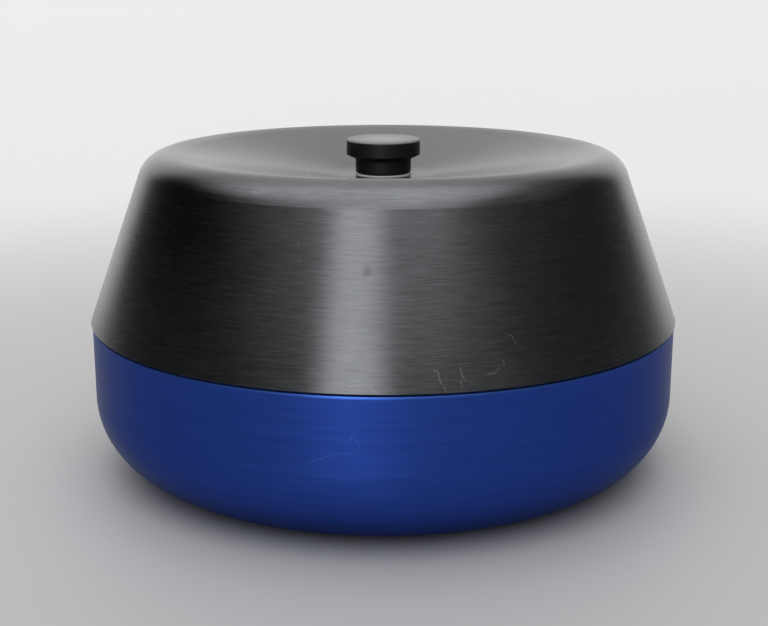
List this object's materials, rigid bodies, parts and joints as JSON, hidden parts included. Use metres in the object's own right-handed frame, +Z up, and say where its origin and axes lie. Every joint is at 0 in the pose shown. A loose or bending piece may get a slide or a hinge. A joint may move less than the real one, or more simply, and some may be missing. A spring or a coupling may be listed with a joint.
{
  "type": "centrifuge rotor canister",
  "caption": "Large fixed-angle centrifuge rotor in a closed canister: a blue round-bottomed bowl and a black dished cover that lifts off once its central knob is unscrewed.",
  "frame": {"origin": "centre of the flat base, on the spin axis", "axes": "+Z up along the spin axis; +X through the middle of one bottle pocket"},
  "size_m": [0.4799, 0.48, 0.2658],
  "materials": {
    "blue_anodised": "blue anodised, turned, satin",
    "black_anodised": "black anodised, finely turned, satin",
    "grey_anodised": "clear hard anodised, machined",
    "stainless_steel": "turned stainless steel",
    "black_steel": "black oxide steel screws",
    "seal_rubber": "matte seal rubber",
    "bearing_bronze": "turned bearing bronze",
    "pale_plastic": "pale bearing plastic",
    "disc_film": "dark and bright sectors on film"
  },
  "bodies": {
    "rotor": {"bowl": "blue_anodised", "rotor_core": "grey_anodised", "drive_hub": "stainless_steel", "drive_pins": "stainless_steel", "hub_screws": "black_steel", "floor_screws": "stainless_steel", "base_seal": "seal_rubber", "overspeed_disc": "disc_film", "cover_post": "stainless_steel", "post_screws": "stainless_steel", "post_seal": "seal_rubber"},
    "tie_down": {"tie_down_screw": "stainless_steel", "tie_down_washer": "bearing_bronze", "tie_down_clip": "stainless_steel"},
    "lid": {"cover": "black_anodised", "cover_gasket": "seal_rubber", "knob_bush": "bearing_bronze", "thrust_washer": "pale_plastic"},
    "lid_knob": {"knob": "black_anodised", "knob_stud": "stainless_steel", "stem_seal": "seal_rubber", "knob_clip": "stainless_steel"}
  },
  "joints": [
    {"name": "cover_lift", "type": "slide", "parent": "rotor", "child": "lid", "axis": [0, 0, 1], "range_m": [0, 0.14]},
    {"name": "knob_turn", "type": "hinge", "parent": "lid", "child": "lid_knob", "pos_m": [0, 0, 0.25], "axis": [0, 0, 1], "continuous": true},
    {"name": "tie_down_turn", "type": "hinge", "parent": "rotor", "child": "tie_down", "pos_m": [0, 0, 0.07], "axis": [0, 0, 1], "continuous": true}
  ]
}
